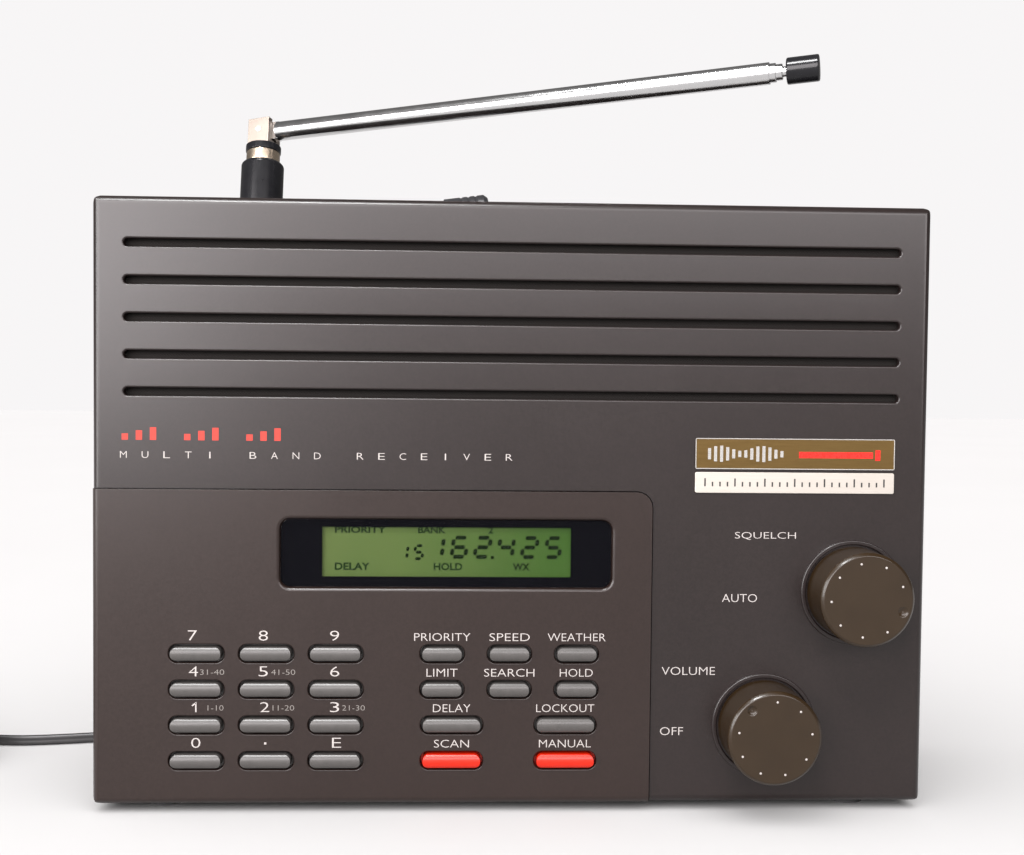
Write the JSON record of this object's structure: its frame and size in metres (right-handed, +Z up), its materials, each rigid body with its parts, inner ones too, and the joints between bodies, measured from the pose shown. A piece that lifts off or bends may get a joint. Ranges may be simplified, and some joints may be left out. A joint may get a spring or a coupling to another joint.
{
  "type": "police scanner",
  "caption": "Upright desktop radio scanner: slotted speaker face, keypad panel with display, two knobs, folding telescopic antenna, coiled power lead with wall adapter.",
  "frame": {"origin": "on the surface that the feet stand on, under the middle of the case's width and of its depth over the knobs", "axes": "+X to the right seen from the front, +Y from the front to the back, +Z up"},
  "size_m": [0.4385, 0.106, 0.2403],
  "materials": {
    "case_plastic": "fine moulded texture, dark brown grey",
    "panel_plastic": "fine moulded texture, dark brown grey",
    "window": "clear lens with a black border printed behind it",
    "lcd": "green liquid crystal display",
    "mat": "silicone rubber",
    "board": "circuit board with solder mask",
    "steel": "zinc plated steel",
    "cone_paper": "pressed paper pulp",
    "cloth": "black woven grille cloth",
    "bronze_plate": "bronze coloured plate with a bright rim",
    "silver_plate": "satin silver plate",
    "nickel": "satin nickel plating",
    "black_plastic": "black moulded plastic",
    "feet_rubber": "black rubber",
    "brass": "pale brass, worn plating",
    "chrome": "bright chrome plating",
    "knob_plastic": "dark bronze brown, satin",
    "lead_pvc": "black flexible PVC",
    "grey_keys": "warm grey moulded plastic",
    "orange_keys": "orange red moulded plastic"
  },
  "bodies": {
    "case": {"front_cover": "case_plastic", "keypad_panel": "panel_plastic", "rear_cover": "case_plastic", "display_window": "window", "lcd_glass": "lcd", "key_mat": "mat", "keypad_board": "board", "main_board": "board", "speaker_frame": "steel", "speaker_cone": "cone_paper", "grille_cloth": "cloth", "volume_control": "steel", "squelch_control": "steel", "badge_plate": "bronze_plate", "badge_strip": "silver_plate", "antenna_socket": "nickel", "speaker_jack": "black_plastic", "dc_socket": "black_plastic", "rubber_feet": "feet_rubber", "case_screws": "steel", "antenna_boot": "black_plastic", "antenna_collar": "brass", "antenna_washer": "black_plastic", "dc_plug": "black_plastic", "power_lead": "lead_pvc", "lead_coil": "lead_pvc", "wall_adapter": "black_plastic"},
    "volume_knob": {"volume_knob": "knob_plastic", "volume_shaft": "steel"},
    "squelch_knob": {"squelch_knob": "knob_plastic", "squelch_shaft": "steel"},
    "antenna_swivel": {"antenna_knuckle": "nickel", "knuckle_pin": "chrome"},
    "antenna_outer": {"antenna_tube_1": "chrome"},
    "antenna_second": {"antenna_tube_2": "chrome"},
    "antenna_third": {"antenna_tube_3": "chrome"},
    "antenna_inner": {"antenna_rod": "chrome", "antenna_cap": "black_plastic"},
    "key_7": {"key_7": "grey_keys"},
    "key_8": {"key_8": "grey_keys"},
    "key_9": {"key_9": "grey_keys"},
    "key_4": {"key_4": "grey_keys"},
    "key_5": {"key_5": "grey_keys"},
    "key_6": {"key_6": "grey_keys"},
    "key_1": {"key_1": "grey_keys"},
    "key_2": {"key_2": "grey_keys"},
    "key_3": {"key_3": "grey_keys"},
    "key_0": {"key_0": "grey_keys"},
    "key_point": {"key_point": "grey_keys"},
    "key_enter": {"key_enter": "grey_keys"},
    "key_priority": {"key_priority": "grey_keys"},
    "key_speed": {"key_speed": "grey_keys"},
    "key_weather": {"key_weather": "grey_keys"},
    "key_limit": {"key_limit": "grey_keys"},
    "key_search": {"key_search": "grey_keys"},
    "key_hold": {"key_hold": "grey_keys"},
    "key_delay": {"key_delay": "grey_keys"},
    "key_lockout": {"key_lockout": "grey_keys"},
    "key_scan": {"key_scan": "orange_keys"},
    "key_manual": {"key_manual": "orange_keys"}
  },
  "joints": [
    {"name": "volume_turn", "type": "hinge", "parent": "case", "child": "volume_knob", "pos_m": [0.0813, -0.0275, 0.0279], "axis": [0, 1, 0], "range_deg": [-54, 236]},
    {"name": "squelch_turn", "type": "hinge", "parent": "case", "child": "squelch_knob", "pos_m": [0.1096, -0.0275, 0.0713], "axis": [0, 1, 0], "range_deg": [-200, 90]},
    {"name": "antenna_turn", "type": "hinge", "parent": "case", "child": "antenna_swivel", "pos_m": [-0.0904, 0.03213, 0.22828], "axis": [0, 0.2079, 0.9781], "continuous": true},
    {"name": "antenna_fold", "type": "hinge", "parent": "antenna_swivel", "child": "antenna_outer", "pos_m": [-0.0904, 0.03213, 0.22828], "axis": [0.3584, 0.9132, -0.1941], "range_deg": [-92, 1]},
    {"name": "second_section_slide", "type": "slide", "parent": "antenna_outer", "child": "antenna_second", "axis": [0.933, -0.3576, 0.0403], "range_m": [0, 0.15]},
    {"name": "third_section_slide", "type": "slide", "parent": "antenna_second", "child": "antenna_third", "axis": [0.933, -0.3576, 0.0403], "range_m": [0, 0.15]},
    {"name": "inner_rod_slide", "type": "slide", "parent": "antenna_third", "child": "antenna_inner", "axis": [0.933, -0.3576, 0.0403], "range_m": [0, 0.15]},
    {"name": "key_7_press", "type": "slide", "parent": "case", "child": "key_7", "axis": [0, 1, 0], "range_m": [0, 0.0012], "stiffness_N_per_m": 400, "springref_m": -0.0006},
    {"name": "key_8_press", "type": "slide", "parent": "case", "child": "key_8", "axis": [0, 1, 0], "range_m": [0, 0.0012], "stiffness_N_per_m": 400, "springref_m": -0.0006},
    {"name": "key_9_press", "type": "slide", "parent": "case", "child": "key_9", "axis": [0, 1, 0], "range_m": [0, 0.0012], "stiffness_N_per_m": 400, "springref_m": -0.0006},
    {"name": "key_4_press", "type": "slide", "parent": "case", "child": "key_4", "axis": [0, 1, 0], "range_m": [0, 0.0012], "stiffness_N_per_m": 400, "springref_m": -0.0006},
    {"name": "key_5_press", "type": "slide", "parent": "case", "child": "key_5", "axis": [0, 1, 0], "range_m": [0, 0.0012], "stiffness_N_per_m": 400, "springref_m": -0.0006},
    {"name": "key_6_press", "type": "slide", "parent": "case", "child": "key_6", "axis": [0, 1, 0], "range_m": [0, 0.0012], "stiffness_N_per_m": 400, "springref_m": -0.0006},
    {"name": "key_1_press", "type": "slide", "parent": "case", "child": "key_1", "axis": [0, 1, 0], "range_m": [0, 0.0012], "stiffness_N_per_m": 400, "springref_m": -0.0006},
    {"name": "key_2_press", "type": "slide", "parent": "case", "child": "key_2", "axis": [0, 1, 0], "range_m": [0, 0.0012], "stiffness_N_per_m": 400, "springref_m": -0.0006},
    {"name": "key_3_press", "type": "slide", "parent": "case", "child": "key_3", "axis": [0, 1, 0], "range_m": [0, 0.0012], "stiffness_N_per_m": 400, "springref_m": -0.0006},
    {"name": "key_0_press", "type": "slide", "parent": "case", "child": "key_0", "axis": [0, 1, 0], "range_m": [0, 0.0012], "stiffness_N_per_m": 400, "springref_m": -0.0006},
    {"name": "key_point_press", "type": "slide", "parent": "case", "child": "key_point", "axis": [0, 1, 0], "range_m": [0, 0.0012], "stiffness_N_per_m": 400, "springref_m": -0.0006},
    {"name": "key_enter_press", "type": "slide", "parent": "case", "child": "key_enter", "axis": [0, 1, 0], "range_m": [0, 0.0012], "stiffness_N_per_m": 400, "springref_m": -0.0006},
    {"name": "key_priority_press", "type": "slide", "parent": "case", "child": "key_priority", "axis": [0, 1, 0], "range_m": [0, 0.0012], "stiffness_N_per_m": 400, "springref_m": -0.0006},
    {"name": "key_speed_press", "type": "slide", "parent": "case", "child": "key_speed", "axis": [0, 1, 0], "range_m": [0, 0.0012], "stiffness_N_per_m": 400, "springref_m": -0.0006},
    {"name": "key_weather_press", "type": "slide", "parent": "case", "child": "key_weather", "axis": [0, 1, 0], "range_m": [0, 0.0012], "stiffness_N_per_m": 400, "springref_m": -0.0006},
    {"name": "key_limit_press", "type": "slide", "parent": "case", "child": "key_limit", "axis": [0, 1, 0], "range_m": [0, 0.0012], "stiffness_N_per_m": 400, "springref_m": -0.0006},
    {"name": "key_search_press", "type": "slide", "parent": "case", "child": "key_search", "axis": [0, 1, 0], "range_m": [0, 0.0012], "stiffness_N_per_m": 400, "springref_m": -0.0006},
    {"name": "key_hold_press", "type": "slide", "parent": "case", "child": "key_hold", "axis": [0, 1, 0], "range_m": [0, 0.0012], "stiffness_N_per_m": 400, "springref_m": -0.0006},
    {"name": "key_delay_press", "type": "slide", "parent": "case", "child": "key_delay", "axis": [0, 1, 0], "range_m": [0, 0.0012], "stiffness_N_per_m": 400, "springref_m": -0.0006},
    {"name": "key_lockout_press", "type": "slide", "parent": "case", "child": "key_lockout", "axis": [0, 1, 0], "range_m": [0, 0.0012], "stiffness_N_per_m": 400, "springref_m": -0.0006},
    {"name": "key_scan_press", "type": "slide", "parent": "case", "child": "key_scan", "axis": [0, 1, 0], "range_m": [0, 0.0012], "stiffness_N_per_m": 400, "springref_m": -0.0006},
    {"name": "key_manual_press", "type": "slide", "parent": "case", "child": "key_manual", "axis": [0, 1, 0], "range_m": [0, 0.0012], "stiffness_N_per_m": 400, "springref_m": -0.0006}
  ]
}
